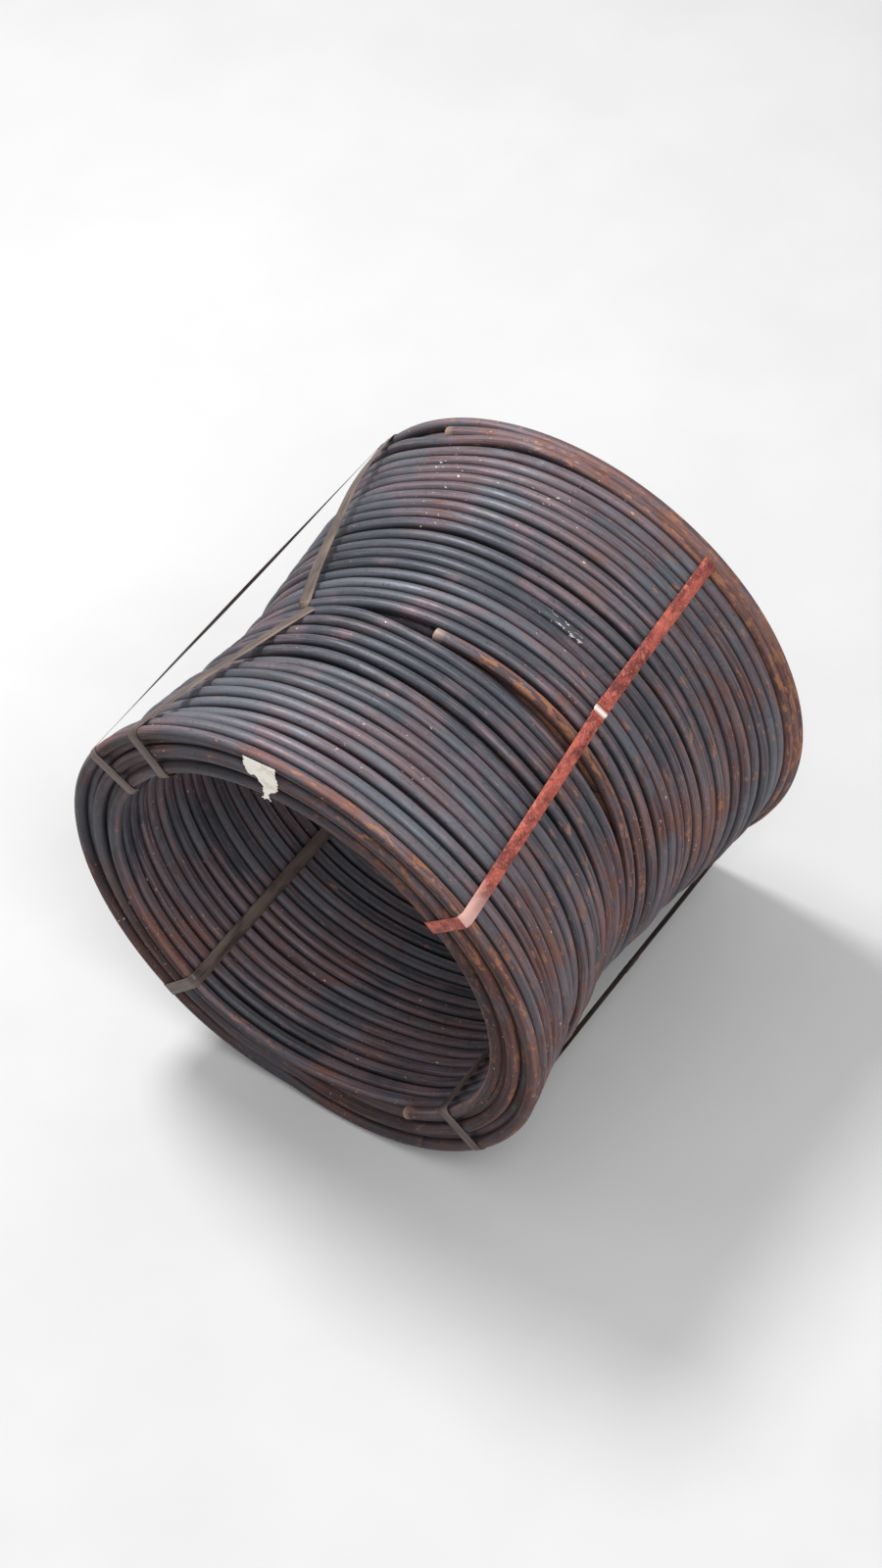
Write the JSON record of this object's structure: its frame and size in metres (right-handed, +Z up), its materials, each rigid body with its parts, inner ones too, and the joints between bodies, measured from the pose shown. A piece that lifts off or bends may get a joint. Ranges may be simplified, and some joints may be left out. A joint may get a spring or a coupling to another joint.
{
  "type": "coil of wire rod",
  "caption": "Coil of hot-rolled steel rod lying on its side, wound in nested layers round an open bore and held by flat steel straps with crimped seals.",
  "frame": {"origin": "on the floor, under the middle of the coil's length", "axes": "+Z up; +Y along the coil's axis, from the front mouth to the rear; +X to the right, seen from the front"},
  "size_m": [1.2499, 1.1124, 1.2497],
  "materials": {
    "rod_steel": "hot-rolled, dark mill scale with patches of rust",
    "strap_steel": "dull strapping steel, lightly rusted",
    "strap_rusty": "strapping steel under red-brown rust",
    "label_paper": "matt, torn and creased"
  },
  "bodies": {
    "root": {"rod_coil": "rod_steel", "strap_upper_right": "strap_rusty", "strap_upper_left": "strap_steel", "strap_lower_left": "strap_steel", "strap_lower_right": "strap_steel", "half_strap_front": "strap_steel", "half_strap_rear": "strap_steel", "seal_upper_right": "strap_rusty", "seal_lower_left": "strap_steel", "seal_lower_right": "strap_steel", "label": "label_paper"}
  },
  "joints": []
}
